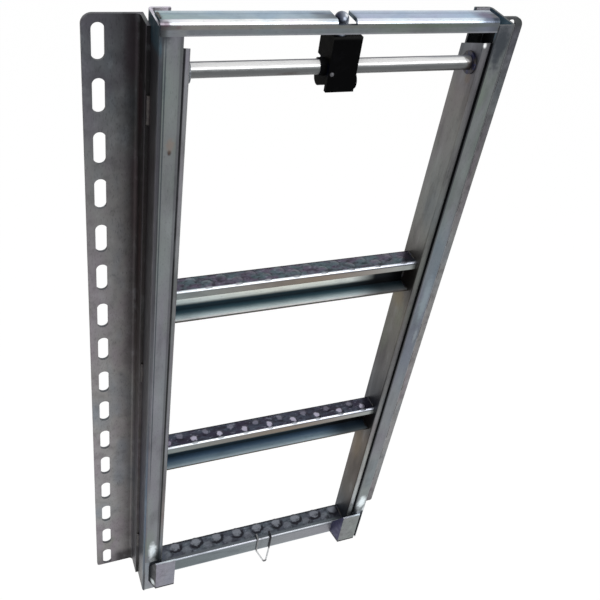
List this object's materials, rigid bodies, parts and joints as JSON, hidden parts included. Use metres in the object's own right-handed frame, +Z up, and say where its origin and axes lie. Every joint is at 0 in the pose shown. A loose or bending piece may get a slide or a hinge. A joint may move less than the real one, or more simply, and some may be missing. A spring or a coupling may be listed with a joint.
{
  "type": "slide-out step ladder",
  "caption": "Zinc-plated ladder that slides down out of a frame of slotted mounting angles and guide rails, with a grab rod, pressed treads and a sprung latch at the top.",
  "frame": {"origin": "back face of the left flange, on the slots' line, midway up the row of slots", "axes": "+X along the treads to the right, +Y away from the user into the mounting wall, +Z up"},
  "size_m": [0.536, 0.088, 1.0263],
  "materials": {
    "zinc_rail": "zinc plated, satin",
    "zinc_angle": "zinc plated, mottled and dull",
    "zinc_ladder": "zinc plated, with brown weld tints",
    "zinc_tread": "zinc plated, dimpled",
    "bright_rod": "zinc plated, bright",
    "weld": "weld bead under zinc",
    "strip_rubber": "matte",
    "black_plastic": "moulded, matte",
    "latch_steel": "zinc plated"
  },
  "bodies": {
    "frame": {"left_guide_rail": "zinc_rail", "right_guide_rail": "zinc_rail", "left_mounting_angle": "zinc_angle", "right_mounting_angle": "zinc_angle", "left_stitch_welds": "weld", "right_stitch_welds": "weld", "top_crossbar": "zinc_rail"},
    "ladder": {"left_stile": "zinc_ladder", "right_stile": "zinc_ladder", "upper_tread": "zinc_tread", "middle_tread": "zinc_tread", "bottom_tread": "zinc_tread", "grab_rod": "bright_rod", "left_weld_ring": "weld", "right_weld_ring": "weld", "left_front_bracket": "zinc_ladder", "right_front_bracket": "zinc_ladder", "left_rubber_strip": "strip_rubber", "right_rubber_strip": "strip_rubber", "pull_loop": "bright_rod"},
    "latch": {"latch_body": "black_plastic", "latch_lever": "black_plastic", "latch_bolt": "latch_steel"}
  },
  "joints": [
    {"name": "ladder_slide", "type": "slide", "parent": "frame", "child": "ladder", "axis": [0, 0, -1], "range_m": [0, 0.8]},
    {"name": "latch_hinge", "type": "hinge", "parent": "ladder", "child": "latch", "pos_m": [0.249, -0.0524, 0.4549], "axis": [-1, 0, 0], "range_deg": [0, 28], "stiffness_Nm_per_rad": 0.6, "springref_deg": -17.19}
  ]
}
